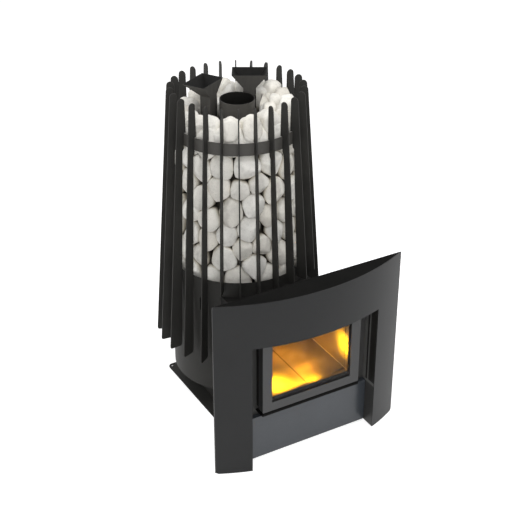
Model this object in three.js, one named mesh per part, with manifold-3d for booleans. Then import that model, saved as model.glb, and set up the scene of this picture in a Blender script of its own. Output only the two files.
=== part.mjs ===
// Wood-fired sauna stove: round body, cage of upright slats full of stones, flue, two water funnels,
// fuel tunnel and a bowed portal with a glazed door and an ash drawer.
// Millimetres, +Z up. The origin is on the body's axis, at floor level; the portal faces -Y.
import * as THREE from 'three';
import { mergeVertices } from 'three/addons/utils/BufferGeometryUtils.js';
import { ConvexGeometry } from 'three/addons/geometries/ConvexGeometry.js';
import Module from 'manifold-3d';

const wasm = await Module();
wasm.setup();

// Fits
const CLEAR = 0.3;              // gap between pieces that touch
const RUN = 0.8;                // side clearance of the sliding drawer
const PIN_PLAY = 0.4;           // clearance of a hinge pin in its knuckle

// Base and ash box
const BASE_HALF_W = 210.9;
const BASE_BACK = 168;          // rear edge, behind the axis
const BASE_T = 4;
const BASE_CORNER_R = 16;
const BASE_HOLE_R = 4.5;
const BASE_HOLE_INSET = 12.5;
const ASH_BOX_H = 179;          // from the base plate to the hearth
const ASH_BOX_BACK = 110;
const ASH_BOX_WALL = 3;

// Hearth and fuel tunnel
const HEARTH_T = 10;
const TUNNEL_HALF_W = 160;
const TUNNEL_WALL = 3;
const TUNNEL_LENGTH = 205.1;    // from the front of the body to the front plate
const TROUGH_RISE = 37;         // the sloped sides climb this far to the wall
const TROUGH_T = 5;
const GRATE_HALF_W = 38;
const GRATE_FRONT = -110;
const GRATE_BACK = 120;
const GRATE_T = 6;
const LIP_T = 3;
const LIP_HALF_W = 184;
const GRATE_LEDGE = 4;          // the grate laps the hearth by this much
const GRATE_BAR = 12;
const GRATE_GAP = 10;
const GRATE_RAIL = 10;

// Firebox
const FIREBOX_R = 190;
const FIREBOX_WALL = 6;
const FIREBOX_TOP_T = 8;
const BAFFLE_T = 8;
const BAFFLE_DROP = 48;         // below the top plate
const BAFFLE_FRONT = -60;       // the smoke passes in front of this edge
const LUG = 16;

// Door
const DOOR_HALF_W = 183;
const DOOR_H = 274;
const DOOR_GAP = 3;             // above the hearth lip
const DOOR_HEAD_GAP = 3.4;      // under the lintel
const DOOR_PROUD = 46;          // front of the door, ahead of the front plate
const DOOR_DEPTH = 27;
const DOOR_FACE_T = 5;
const DOOR_SKIRT_T = 3;
const DOOR_CORNER_R = 3;
const WINDOW_HALF_W = 148.5;
const WINDOW_SILL = 32;         // frame below the window
const WINDOW_HEAD = 21;         // frame above it
const GLASS_T = 4;
const GLASS_LAP = 11.5;         // the glass reaches this far behind the frame
const SEAL_T = 5;
const SEAL_SILL = 12;           // the seal shows this much above the sill
const RETAINER_T = 3;
const RETAINER_LAP = 22.5;
const COLLAR_DEPTH = 18;
const COLLAR_W = 23;
const ROPE_W = 13;
const ROPE_INSET = 4;
const TUNNEL_ROOF_DROP = 9;     // tunnel roof below the top of the door

// Hinges and catch
const HINGE_OUT = 6.5;          // axis beyond the side of the door
const HINGE_BACK = 22;          // axis behind the front of the door
const HINGE_LOW = 34;           // lower bracket, above the foot of the door
const HINGE_SPACING = 180;
const HINGE_PIN_R = 4;
const HINGE_PIN_L = 20;
const KNUCKLE_R = 6.2;
const KNUCKLE_L = 24;
const BRACKET_T = 8;
const BRACKET_HALF_W = 5;
const CATCH_T = 1.5;
const CATCH_L = 14;
const CATCH_H = 25;

// Portal
const PORTAL_HALF_W = 344.4;
const PORTAL_SAGITTA = 82.6;    // how far the front bows out
const PORTAL_OFFSET = 23.6;     // back edge ahead of the front plate
const PORTAL_T = 3;
const LINTEL_BAND = 160.9;
const OPENING_HALF_W = 233.4;
const LEG_CORNER_R = 10;
const HEAD_CORNER_R = 6;
const RETURN_SLOT_W = 6;
const RETURN_SLOT_Y = 22;       // slot ahead of the front plate
const RETURN_SLOT_FOOT = 176;
const RETURN_SLOT_HEAD = 18;    // below the lintel
const FRONT_T = 3;
const FRONT_RISE = 26;          // front plate above the lintel's underside

// Ash drawer
const DRAWER_PROUD = 19.5;      // face ahead of the front plate
const DRAWER_T = 3;
const DRAWER_LIFT = 3;
const DRAWER_H = 164;
const DRAWER_LEDGE = 16.5;
const TRAY_HALF_W = 150;
const TRAY_H = 146;
const TRAY_WALL = 2;
const TRAY_BACK = 95;

// Body, cage and stones
const BODY_R = 232.9;
const BODY_WALL = 2.5;
const BODY_BOTTOM = 80;
const STONE_FLOOR_RISE = 25;    // stone floor above the tunnel roof
const RIM_RISE = 28.9;          // rim of the body above the stone floor
const AIR_SLOT_W = 5;
const AIR_SLOT_H = 49;
const AIR_SLOT_DROP = 76;       // top of the slot below the rim
const SLAT_COUNT = 26;
const SLAT_T = 4;
const CAGE_H = 602.4;           // slat tips above the rim
const SLAT_TIP_W = 25.5;
const SLAT_TIP_OUT = 5.8;       // middle of the tip outside the hoop
const SLAT_FOOT_RISE = 138;     // slat feet above the bottom of the body
const SLAT_FOOT_GAP = 11.7;     // the slats lean out from the body by this much at the foot
const SLAT_FOOT_W = 47;
const SLAT_FOOT_R = 8;
const SLAT_SHORT_RISE = 19;     // feet of the front slats above the tunnel roof
const SLAT_HEAD_GAP = 6;        // inner edge of the slats outside the hoop, below the hook
const SLAT_HOOK = 9;            // the slat heads hook over the hoop by this much
const HOOP_R = 209.4;
const HOOP_WALL = 2;
const HOOP_H = 42.1;
const HOOP_RISE = 443.9;        // above the rim
const STONE_RISE = 551;         // top of the heap above the rim
const STONE_W = 118;
const STONE_H = 84;
const STONE_DEPTH = 66;

// Flue and funnels
const FLUE_R = 57.5;
const FLUE_WALL = 3;
const FLUE_RISE = 553.1;        // above the rim
const SOCKET_WALL = 5;
const SOCKET_H = 30;
const FUNNEL_X = 75.6;
const FUNNEL_Y = 52.5;
const FUNNEL_TURN = 30;         // degrees, turned in towards the middle
const FUNNEL_W = 117;
const FUNNEL_DEPTH = 80;
const FUNNEL_H = 43;
const FUNNEL_RISE = 605.1;      // rim of the funnels above the rim of the body
const FUNNEL_WALL = 2;
const TUBE_W = 42;
const TUBE_DEPTH = 38;
const TUBE_FOOT_RISE = 30;      // tube foot above the rim

// Heights and depths that follow from the sizes
const hearthZ = BASE_T + ASH_BOX_H;
const hearthTop = hearthZ + HEARTH_T;
const doorBottom = hearthTop + DOOR_GAP;
const doorTop = doorBottom + DOOR_H;
const lintelZ = doorTop + DOOR_HEAD_GAP;
const portalTop = lintelZ + LINTEL_BAND;
const tunnelTop = doorTop - TUNNEL_ROOF_DROP;
const tunnelIn = TUNNEL_HALF_W - TUNNEL_WALL;
const stoneFloor = tunnelTop + STONE_FLOOR_RISE;
const rimZ = stoneFloor + RIM_RISE;
const frontY = -(BODY_R + TUNNEL_LENGTH);
const frontBack = frontY + FRONT_T;
const doorY = frontY - DOOR_PROUD;
const doorBack = doorY + DOOR_DEPTH;
const portalBack = frontY - PORTAL_OFFSET;
const arcR = (PORTAL_HALF_W ** 2 + PORTAL_SAGITTA ** 2) / (2 * PORTAL_SAGITTA);
const arcY = portalBack - PORTAL_SAGITTA + arcR;
const hoopZ = rimZ + HOOP_RISE;
const hoopTop = hoopZ + HOOP_H;
const tipZ = rimZ + CAGE_H - SLAT_TIP_W / 2;
const footZ = BODY_BOTTOM + SLAT_FOOT_RISE;
const shortFootZ = tunnelTop + SLAT_SHORT_RISE;
const slatHead = hoopZ - 2 * SLAT_HOOK;
const bodyIn = BODY_R - BODY_WALL;
const hinge = { x: DOOR_HALF_W + HINGE_OUT, y: doorY + HINGE_BACK };
const flueTop = rimZ + FLUE_RISE;
const funnelTop = rimZ + FUNNEL_RISE;
const neckZ = funnelTop - FUNNEL_H;
const stoneTop = rimZ + STONE_RISE;

// Shapes
function rect(x0, y0, x1, y1) {
  const s = new THREE.Shape();
  s.moveTo(x0, y0).lineTo(x1, y0).lineTo(x1, y1).lineTo(x0, y1).closePath();
  return s;
}

// Rectangle with a radius for each corner: lower left, lower right, upper right, upper left
function roundRect(x0, y0, x1, y1, [a, b, c, d]) {
  const s = new THREE.Shape();
  s.moveTo(x0 + a, y0).lineTo(x1 - b, y0);
  if (b) s.absarc(x1 - b, y0 + b, b, -Math.PI / 2, 0);
  s.lineTo(x1, y1 - c);
  if (c) s.absarc(x1 - c, y1 - c, c, 0, Math.PI / 2);
  s.lineTo(x0 + d, y1);
  if (d) s.absarc(x0 + d, y1 - d, d, Math.PI / 2, Math.PI);
  s.lineTo(x0, y0 + a);
  if (a) s.absarc(x0 + a, y0 + a, a, Math.PI, 1.5 * Math.PI);
  return s;
}

function polygon(points) {
  return new THREE.Shape(points.map(([x, y]) => new THREE.Vector2(x, y)));
}

function withHoles(shape, ...holes) {
  shape.holes.push(...holes);
  return shape;
}

// Prisms along each axis. A shape for prismY lies in X and Z, one for prismX in Y and Z.
function prismZ(shape, z0, z1, curveSegments = 8) {
  const g = new THREE.ExtrudeGeometry(shape, { depth: z1 - z0, bevelEnabled: false, curveSegments });
  return g.translate(0, 0, z0);
}

function prismY(shape, y0, y1, curveSegments = 8) {
  const g = new THREE.ExtrudeGeometry(shape, { depth: y1 - y0, bevelEnabled: false, curveSegments });
  return g.rotateX(Math.PI / 2).translate(0, y1, 0);
}

function prismX(shape, x0, x1, curveSegments = 8) {
  const g = new THREE.ExtrudeGeometry(shape, { depth: x1 - x0, bevelEnabled: false, curveSegments });
  const axes = [new THREE.Vector3(0, 1, 0), new THREE.Vector3(0, 0, 1), new THREE.Vector3(1, 0, 0)];
  return g.applyMatrix4(new THREE.Matrix4().makeBasis(...axes)).translate(x0, 0, 0);
}

function box(x0, y0, z0, x1, y1, z1) {
  const g = new THREE.BoxGeometry(x1 - x0, y1 - y0, z1 - z0);
  return g.translate((x0 + x1) / 2, (y0 + y1) / 2, (z0 + z1) / 2);
}

// Solid of revolution round Z from a closed profile of (radius, height) points
function lathe(profile, segments) {
  const points = profile.map(([r, z]) => new THREE.Vector2(r, z));
  if (profile[0][0] > 0) points.push(points[0].clone());
  return new THREE.LatheGeometry(points, segments).rotateX(Math.PI / 2);
}

function cylinder(r, z0, z1, segments = 24) {
  return lathe([[0, z0], [r, z0], [r, z1], [0, z1]], segments);
}

// Closed mesh to solid and back
function solid(geometry) {
  const g = geometry.clone();
  g.deleteAttribute('normal');
  g.deleteAttribute('uv');
  const merged = mergeVertices(g, 1e-4);
  const position = merged.attributes.position;
  const tri = [];
  const [a, b, c] = [new THREE.Vector3(), new THREE.Vector3(), new THREE.Vector3()];
  let volume = 0;
  for (let i = 0; i < merged.index.count; i += 3) {
    const t = [0, 1, 2].map((k) => merged.index.getX(i + k));
    if (t[0] === t[1] || t[1] === t[2] || t[2] === t[0]) continue;
    a.fromBufferAttribute(position, t[0]);
    b.fromBufferAttribute(position, t[1]);
    c.fromBufferAttribute(position, t[2]);
    volume += a.dot(b.cross(c));
    tri.push(t);
  }
  const triVerts = Uint32Array.from(tri.flatMap((t) => (volume < 0 ? [t[0], t[2], t[1]] : t)));
  return new wasm.Manifold(new wasm.Mesh({ numProp: 3, vertProperties: position.array, triVerts }));
}

function geometryOf(manifold) {
  const mesh = manifold.getMesh();
  const g = new THREE.BufferGeometry();
  g.setAttribute('position', new THREE.Float32BufferAttribute(mesh.vertProperties, 3));
  g.setIndex(new THREE.BufferAttribute(mesh.triVerts, 1));
  g.computeVertexNormals();
  return g;
}

function join(...geometries) {
  return geometries.map(solid).reduce((a, b) => a.add(b));
}

function cut(manifold, ...geometries) {
  return geometries.map(solid).reduce((a, b) => a.subtract(b), manifold);
}

// Finishes
const PAINT = { color: 0x2b2a28, roughness: 0.55, metalness: 0.6 };
const PORTAL_PAINT = { color: 0x3a3a3b, roughness: 0.45, metalness: 0.6 };
const PANEL = { color: 0x55575b, roughness: 0.35, metalness: 0.7 };
const RAW_STEEL = { color: 0x3c3a38, roughness: 0.6, metalness: 0.8 };
const CAST = { color: 0x262524, roughness: 0.8, metalness: 0.5 };
const BRIGHT = { color: 0x8a8a88, roughness: 0.35, metalness: 0.9 };
const GLASS = { color: 0xcdb58a, roughness: 0.05, metalness: 0, transparent: true, opacity: 0.35 };
const ROPE = { color: 0x4a4844, roughness: 0.95, metalness: 0 };
const STONE = { color: 0xdad7d0, roughness: 0.85, metalness: 0 };

const stove = new THREE.Group();
stove.name = 'sauna_stove';

function add(name, geometry, finish, parent = stove) {
  const mesh = new THREE.Mesh(geometry, new THREE.MeshStandardMaterial(finish));
  mesh.name = name;
  parent.add(mesh);
  return mesh;
}

// Base plate with rounded rear corners and a fixing hole in each
function basePlate() {
  const r = BASE_CORNER_R;
  const plan = roundRect(-BASE_HALF_W, frontBack + CLEAR, BASE_HALF_W, BASE_BACK, [0, 0, r, r]);
  for (const side of [-1, 1]) {
    const hole = new THREE.Path();
    hole.absarc(side * (BASE_HALF_W - BASE_HOLE_INSET), BASE_BACK - BASE_HOLE_INSET, BASE_HOLE_R, 0, 2 * Math.PI);
    plan.holes.push(hole);
  }
  return prismZ(plan, 0, BASE_T, 6);
}

// Ash box: two sides and a back, open to the front and to the grate
function ashBox() {
  const [w, y0, y1, t] = [TUNNEL_HALF_W, frontBack + CLEAR, ASH_BOX_BACK, ASH_BOX_WALL];
  const plan = [[-w, y0], [-w + t, y0], [-w + t, y1 - t], [w - t, y1 - t], [w - t, y0], [w, y0], [w, y1], [-w, y1]];
  return prismZ(polygon(plan), BASE_T + CLEAR, hearthZ - CLEAR);
}

// Hearth: floor of the tunnel and the firebox, with sloped sides down to the grate
function hearth() {
  const floor = join(
    box(-TUNNEL_HALF_W, frontBack + CLEAR, hearthZ, TUNNEL_HALF_W, 0, hearthTop),
    cylinder(FIREBOX_R, hearthZ, hearthTop, 48),
  );
  const wall = tunnelIn - CLEAR;
  const foot = GRATE_HALF_W + 1;
  const back = Math.sqrt((FIREBOX_R - FIREBOX_WALL - 1) ** 2 - wall ** 2);
  const slope = (side) => {
    const bury = GRATE_LEDGE;
    const rise = TROUGH_RISE / (wall - foot);
    const low = hearthTop - bury * rise;
    const top = hearthTop + TROUGH_RISE;
    const section = [[foot - bury, low - TROUGH_T], [wall, top - TROUGH_T], [wall, top], [foot - bury, low]];
    const outline = section.map(([x, z]) => [side * x, z]);
    return prismY(polygon(side < 0 ? outline.reverse() : outline), frontBack + CLEAR + TROUGH_T, back);
  };
  const whole = floor.add(solid(slope(-1))).add(solid(slope(1)));
  const [x, y0, y1] = [GRATE_HALF_W - GRATE_LEDGE, GRATE_FRONT + GRATE_LEDGE, GRATE_BACK - GRATE_LEDGE];
  return geometryOf(cut(whole, box(-x, y0, hearthZ - 1, x, y1, hearthTop + 1)));
}

function grate() {
  const plate = rect(-GRATE_HALF_W, GRATE_FRONT, GRATE_HALF_W, GRATE_BACK);
  const open = GRATE_HALF_W - GRATE_RAIL;
  const count = Math.floor((GRATE_BACK - GRATE_FRONT - GRATE_BAR) / (GRATE_BAR + GRATE_GAP));
  const start = (GRATE_FRONT + GRATE_BACK - count * (GRATE_BAR + GRATE_GAP) + GRATE_BAR) / 2;
  for (let i = 0; i < count; i++) {
    const y = start + i * (GRATE_BAR + GRATE_GAP);
    plate.holes.push(rect(-open, y, open, y + GRATE_GAP));
  }
  return prismZ(plate, hearthTop + CLEAR, hearthTop + CLEAR + GRATE_T);
}

// Firebox: round wall, top plate that carries the stones and the body shell, flue socket, lugs for the baffle
function firebox() {
  const inner = FIREBOX_R - FIREBOX_WALL;
  const under = stoneFloor - FIREBOX_TOP_T;
  const socketIn = FLUE_R + CLEAR;
  const socketOut = socketIn + SOCKET_WALL;
  const profile = [
    [inner, hearthTop + CLEAR], [FIREBOX_R, hearthTop + CLEAR], [FIREBOX_R, under], [bodyIn - CLEAR, under],
    [bodyIn - CLEAR, stoneFloor], [socketOut, stoneFloor], [socketOut, stoneFloor + SOCKET_H],
    [socketIn, stoneFloor + SOCKET_H], [socketIn, stoneFloor], [FLUE_R - FLUE_WALL, stoneFloor],
    [FLUE_R - FLUE_WALL, under], [inner, under],
  ];
  let wall = solid(lathe(profile, 48));
  const lugTop = under - BAFFLE_DROP;
  for (const turn of [90, 180, 270]) {
    const lug = box(-LUG / 2, -inner - FIREBOX_WALL / 2, lugTop - LUG / 2, LUG / 2, -inner + LUG, lugTop);
    wall = wall.add(solid(lug.rotateZ(THREE.MathUtils.degToRad(turn))));
  }
  const mouth = box(-tunnelIn, -FIREBOX_R - 1, hearthTop - 1, tunnelIn, 0, tunnelTop - TUNNEL_WALL);
  return geometryOf(cut(wall, mouth));
}

// Flame baffle: plate on the lugs, with a free edge towards the tunnel
function baffle() {
  const z = stoneFloor - FIREBOX_TOP_T - BAFFLE_DROP + CLEAR;
  const disc = cylinder(FIREBOX_R - FIREBOX_WALL - 1, z, z + BAFFLE_T, 48);
  const r = FIREBOX_R + 1;
  return geometryOf(cut(solid(disc), box(-r, -r, z - 1, r, BAFFLE_FRONT, z + BAFFLE_T + 1)));
}

// Fuel tunnel: two walls and a roof, fitted to the round firebox
function tunnel() {
  const [w, i, z0, z1] = [TUNNEL_HALF_W, tunnelIn, hearthTop + CLEAR, tunnelTop];
  const under = z1 - TUNNEL_WALL;
  const section = [[-w, z0], [-i, z0], [-i, under], [i, under], [i, z0], [w, z0], [w, z1], [-w, z1]];
  const duct = solid(prismY(polygon(section), frontBack + CLEAR, 0));
  return geometryOf(cut(duct, cylinder(FIREBOX_R + CLEAR, z0 - 1, z1 + 1, 48)));
}

// Front plate with the fire and ash openings
function frontPlate() {
  const half = OPENING_HALF_W + PORTAL_T;
  const plate = rect(-half, 0, half, lintelZ + FRONT_RISE);
  const fire = rect(-tunnelIn, doorBottom, tunnelIn, tunnelTop - TUNNEL_WALL);
  const ash = rect(-tunnelIn, BASE_T, tunnelIn, hearthZ - TUNNEL_WALL);
  return prismY(withHoles(plate, fire, ash), frontY, frontBack);
}

// Lip under the door: a shallow tray, bent up along its front edge
function hearthLip() {
  const [y0, y1, t] = [doorY, frontY - CLEAR, LIP_T];
  const bend = [[y0, hearthZ], [y1, hearthZ], [y1, hearthZ + t], [y0 + t, hearthZ + t], [y0 + t, hearthTop], [y0, hearthTop]];
  return prismX(polygon(bend), -LIP_HALF_W, LIP_HALF_W);
}

// Collar round the fire opening, and the rope seal on its face
function collarRing(outset, inset, y0, y1) {
  const [w, z0, z1] = [DOOR_HALF_W - outset, doorBottom + outset, doorTop - outset];
  const r = DOOR_CORNER_R + 3;
  const ring = roundRect(-w, z0, w, z1, [r, r, r, r]);
  const hole = roundRect(-w + inset, z0 + inset, w - inset, z1 - inset, [r, r, r, r]);
  return prismY(withHoles(ring, hole), y0, y1, 4);
}

// Door: face with the window, skirt all round, and a hinge knuckle above each bracket
function doorFrame() {
  const [w, z0, z1, r] = [DOOR_HALF_W, doorBottom, doorTop, DOOR_CORNER_R];
  const t = DOOR_SKIRT_T;
  const block = solid(prismY(roundRect(-w, z0, w, z1, [r, r, r, r]), doorY, doorBack, 4));
  const inside = box(-w + t, doorY + DOOR_FACE_T, z0 + t, w - t, doorBack + 1, z1 - t);
  const pane = box(-WINDOW_HALF_W, doorY - 1, z0 + WINDOW_SILL, WINDOW_HALF_W, doorBack, z1 - WINDOW_HEAD);
  let frame = cut(block, inside, pane);
  for (const foot of hingeFeet()) {
    const low = foot + BRACKET_T + CLEAR;
    const eye = cylinder(KNUCKLE_R, low, low + KNUCKLE_L).translate(hinge.x, hinge.y, 0);
    const web = box(w - t / 2, hinge.y - KNUCKLE_R / 2, low, hinge.x, hinge.y + KNUCKLE_R / 2, low + KNUCKLE_L);
    const bore = cylinder(HINGE_PIN_R + PIN_PLAY, low - 1, low + KNUCKLE_L + 1).translate(hinge.x, hinge.y, 0);
    frame = cut(frame.add(solid(eye)).add(solid(web)), bore);
  }
  return geometryOf(frame);
}

function hingeFeet() {
  const low = doorBottom + HINGE_LOW;
  return [low, low + HINGE_SPACING];
}

// Hinge bracket: arm on the front plate with a standing pin; drawn with its foot at z = 0
function hingeBracket() {
  const arm = box(-BRACKET_HALF_W, 0, 0, BRACKET_HALF_W, frontY - CLEAR - hinge.y, BRACKET_T);
  const eye = cylinder(BRACKET_HALF_W, 0, BRACKET_T);
  const pin = cylinder(HINGE_PIN_R, BRACKET_T / 2, BRACKET_T + HINGE_PIN_L);
  return geometryOf(join(arm, eye, pin));
}

// Block behind the window that reaches past it by lap at the sides and foot and by head at the top
function windowBlock(lap, head, sill, y0, y1) {
  const w = WINDOW_HALF_W + lap;
  return box(-w, y0, doorBottom + WINDOW_SILL - sill, w, y1, doorTop - WINDOW_HEAD + head);
}

function glass(y0) {
  return windowBlock(GLASS_LAP, GLASS_LAP, GLASS_LAP, y0, y0 + GLASS_T);
}

function glassSeal(y0, y1) {
  const block = solid(windowBlock(GLASS_LAP, GLASS_LAP, GLASS_LAP, y0, y1));
  return geometryOf(cut(block, windowBlock(-2, -2, -SEAL_SILL, y0 - 1, y1 + 1)));
}

// Retainer: flat ring behind the seal with a rim that stands on the back of the door's face
function glassRetainer(face, y0, y1) {
  const [lap, head, t] = [RETAINER_LAP, WINDOW_HEAD - DOOR_SKIRT_T - 2, RETAINER_T];
  const block = solid(windowBlock(lap, head, lap, face, y1));
  const pocket = windowBlock(lap - t, head - t, lap - t, face - 1, y0);
  return geometryOf(cut(block, pocket, windowBlock(2, 2, 2, face, y1 + 1)));
}

// Portal front: bowed sheet with two legs under the lintel
function bowEdge(r, halfW, segments = 36) {
  const points = [];
  for (let i = 0; i <= segments; i++) {
    const x = -halfW + (2 * halfW * i) / segments;
    points.push([x, arcY - Math.sqrt(r * r - x * x)]);
  }
  return points;
}

function portalFront() {
  const over = PORTAL_HALF_W + 4;
  const sheet = [...bowEdge(arcR, over), ...bowEdge(arcR - PORTAL_T, over).reverse()];
  const [w, i, r, h] = [PORTAL_HALF_W, OPENING_HALF_W, LEG_CORNER_R, HEAD_CORNER_R];
  const legs = roundRect(-w, 0, w, portalTop, [r, r, h, h]);
  const bowed = solid(prismZ(polygon(sheet), -1, portalTop + 1));
  const outline = solid(prismY(legs, arcY - arcR - 1, portalBack + 2 * PORTAL_SAGITTA, 5));
  const opening = box(-i, arcY - arcR - 1, -1, i, portalBack + 2 * PORTAL_SAGITTA, lintelZ);
  return geometryOf(cut(bowed.intersect(outline), opening));
}

// Crescent that closes the top of the portal
function portalTopPlate() {
  const r = arcR - PORTAL_T - CLEAR;
  const halfW = Math.sqrt(r * r - (arcY - portalBack) ** 2);
  return prismZ(polygon(bowEdge(r, halfW)), portalTop - PORTAL_T, portalTop);
}

// Return plate inside a leg, from the bowed sheet back to the front plate, with its upright slot
function portalReturn(side) {
  const outer = OPENING_HALF_W + PORTAL_T;
  const front = arcY - Math.sqrt((arcR - PORTAL_T - CLEAR) ** 2 - outer ** 2);
  const plate = rect(front, 0, frontY - CLEAR, lintelZ - CLEAR);
  const slotY = frontY - RETURN_SLOT_Y - RETURN_SLOT_W / 2;
  const slot = rect(slotY, RETURN_SLOT_FOOT, slotY + RETURN_SLOT_W, lintelZ - RETURN_SLOT_HEAD);
  return prismX(withHoles(plate, slot), side > 0 ? OPENING_HALF_W : -outer, side > 0 ? outer : -OPENING_HALF_W);
}

// Back of a leg, from the return plate to the end of the bowed sheet
function legBack(side) {
  const y0 = arcY - Math.sqrt((arcR - PORTAL_T) ** 2 - PORTAL_HALF_W ** 2) + CLEAR;
  const [x0, x1] = [OPENING_HALF_W + PORTAL_T + CLEAR, PORTAL_HALF_W];
  return box(side > 0 ? x0 : -x1, y0, 0, side > 0 ? x1 : -x0, y0 + PORTAL_T, lintelZ - CLEAR);
}

// Soffit under the lintel
function portalSoffit() {
  const half = OPENING_HALF_W + PORTAL_T;
  const edge = bowEdge(arcR - PORTAL_T - CLEAR, half, 24);
  const plan = [...edge, [half, frontY - CLEAR], [-half, frontY - CLEAR]];
  return prismZ(polygon(plan), lintelZ, lintelZ + PORTAL_T);
}

// Drawer front: panel bent back into a ledge along its top
function drawerFront() {
  const [y, t, z0, z1] = [frontY - DRAWER_PROUD, DRAWER_T, DRAWER_LIFT, DRAWER_LIFT + DRAWER_H];
  const bend = [[y, z0], [y + t, z0], [y + t, z1 - t], [y + DRAWER_LEDGE, z1 - t], [y + DRAWER_LEDGE, z1]];
  const half = OPENING_HALF_W - RUN;
  return prismX(polygon([...bend, [y + 1, z1], [y, z1 - 1]]), -half, half);
}

function ashTray() {
  const [w, t] = [TRAY_HALF_W, TRAY_WALL];
  const y0 = frontY - DRAWER_PROUD + DRAWER_T + CLEAR;
  const z0 = BASE_T + CLEAR;
  const body = solid(box(-w, y0, z0, w, TRAY_BACK, z0 + TRAY_H));
  return geometryOf(cut(body, box(-w + t, y0 + t, z0 + t, w - t, TRAY_BACK - t, z0 + TRAY_H + 1)));
}

// Body shell: open to the tunnel in front, with an upright air slot between the long slats
function slatAngle(index) {
  return (index * 2 * Math.PI) / SLAT_COUNT;
}

function isShort(angle) {
  const reach = (BODY_R + SLAT_FOOT_GAP) * Math.abs(Math.sin(angle));
  return Math.cos(angle) > 0 && reach < TUNNEL_HALF_W + 3 * SLAT_T;
}

function bodyShell() {
  const ring = [[bodyIn, BODY_BOTTOM], [BODY_R, BODY_BOTTOM], [BODY_R, rimZ], [bodyIn, rimZ]];
  const half = TUNNEL_HALF_W + CLEAR;
  const mouth = box(-half, -BODY_R - 1, BODY_BOTTOM - 1, half, 0, tunnelTop + CLEAR);
  let shell = cut(solid(lathe(ring, 3 * SLAT_COUNT)), mouth);
  for (let i = 0; i < SLAT_COUNT; i++) {
    if (isShort(slatAngle(i)) || isShort(slatAngle(i + 1))) continue;
    const top = rimZ - AIR_SLOT_DROP;
    const [w, r0, r1] = [AIR_SLOT_W / 2, bodyIn - 2 * BODY_WALL, BODY_R + BODY_WALL];
    const slot = box(-w, -r1, top - AIR_SLOT_H, w, -r0, top);
    shell = cut(shell, slot.rotateZ(slatAngle(i + 0.5)));
  }
  return geometryOf(shell);
}

// Slat edges: the inner one stands on the rim and leans out to the foot, the outer one tapers to the tip
function slatIn(z) {
  if (z < rimZ) return BODY_R + CLEAR + (SLAT_FOOT_GAP * (rimZ - z)) / (rimZ - footZ);
  const lean = BODY_R - HOOP_R - SLAT_HEAD_GAP;
  return BODY_R + CLEAR - (lean * (z - rimZ)) / (slatHead - rimZ);
}

function slatOut(z) {
  const top = HOOP_R + SLAT_TIP_OUT + SLAT_TIP_W / 2;
  const foot = BODY_R + SLAT_FOOT_GAP + SLAT_FOOT_W;
  return foot + ((top - foot) * (z - footZ)) / (tipZ - footZ);
}

function slat(foot) {
  const tip = HOOP_R + SLAT_TIP_OUT;
  const seat = HOOP_R + CLEAR;
  const tab = hoopZ - SLAT_HOOK;
  const r = SLAT_FOOT_R;
  const s = new THREE.Shape();
  s.moveTo(slatIn(foot) + r, foot).lineTo(slatOut(foot) - r, foot);
  s.quadraticCurveTo(slatOut(foot), foot, slatOut(foot + r), foot + r);
  s.lineTo(tip + SLAT_TIP_W / 2, tipZ);
  s.absarc(tip, tipZ, SLAT_TIP_W / 2, 0, Math.PI);
  s.lineTo(seat - SLAT_HOOK, hoopTop + CLEAR).lineTo(seat, hoopTop + CLEAR).lineTo(seat, tab);
  s.lineTo(slatIn(slatHead), slatHead).lineTo(slatIn(rimZ), rimZ).lineTo(slatIn(foot + r), foot + r);
  s.quadraticCurveTo(slatIn(foot), foot, slatIn(foot) + r, foot);
  return prismY(s, -SLAT_T / 2, SLAT_T / 2, 6);
}

function hoop() {
  const inner = HOOP_R - HOOP_WALL;
  return lathe([[inner, hoopZ], [HOOP_R, hoopZ], [HOOP_R, hoopTop], [inner, hoopTop]], 2 * SLAT_COUNT);
}

function fluePipe() {
  const inner = FLUE_R - FLUE_WALL;
  const foot = stoneFloor + CLEAR;
  return lathe([[inner, foot], [FLUE_R, foot], [FLUE_R, flueTop], [inner, flueTop]], 48);
}

// Funnel: hopper with an upright front, on a square tube. Drawn on the tube's axis, front towards -Y.
function hopper(grow, z0, z1) {
  const front = -TUBE_DEPTH / 2 - grow;
  const corners = (w, depth, z) => [-1, 1].flatMap((side) => [
    new THREE.Vector3((side * w) / 2 + side * grow, front, z),
    new THREE.Vector3((side * w) / 2 + side * grow, front + depth + 2 * grow, z),
  ]);
  return new ConvexGeometry([...corners(TUBE_W, TUBE_DEPTH, z0), ...corners(FUNNEL_W, FUNNEL_DEPTH, z1)]);
}

function tube(grow, z0, z1) {
  const [w, d] = [TUBE_W / 2 + grow, TUBE_DEPTH / 2 + grow];
  return box(-w, -d, z0, w, d, z1);
}

function funnel() {
  const t = FUNNEL_WALL;
  const foot = rimZ + TUBE_FOOT_RISE;
  const outer = join(hopper(0, neckZ, funnelTop), tube(0, foot, neckZ + t));
  const slope = (FUNNEL_W - TUBE_W) / (2 * FUNNEL_H);
  return geometryOf(cut(outer, hopper(-t, neckZ + t / slope / 2, funnelTop + 0.01), tube(-t, foot - 1, neckZ + 2 * t)));
}

function placeFunnel(object, side) {
  object.position.set(side * FUNNEL_X, FUNNEL_Y, 0);
  object.rotation.z = THREE.MathUtils.degToRad(-side * FUNNEL_TURN);
  return object;
}

// Stones: a heap of rounded boulders that fills the cage round the flue and the tubes
let seed = 11;
function vary(low, high) {
  seed = (seed * 16807) % 2147483647;
  return low + ((high - low) * seed) / 2147483647;
}

function heapLimit(z) {
  if (z < rimZ) return bodyIn - 1;
  if (z < hoopZ - 3 * SLAT_HOOK) return slatIn(z) - 1.5;
  return HOOP_R - HOOP_WALL - SLAT_HOOK;
}

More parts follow.
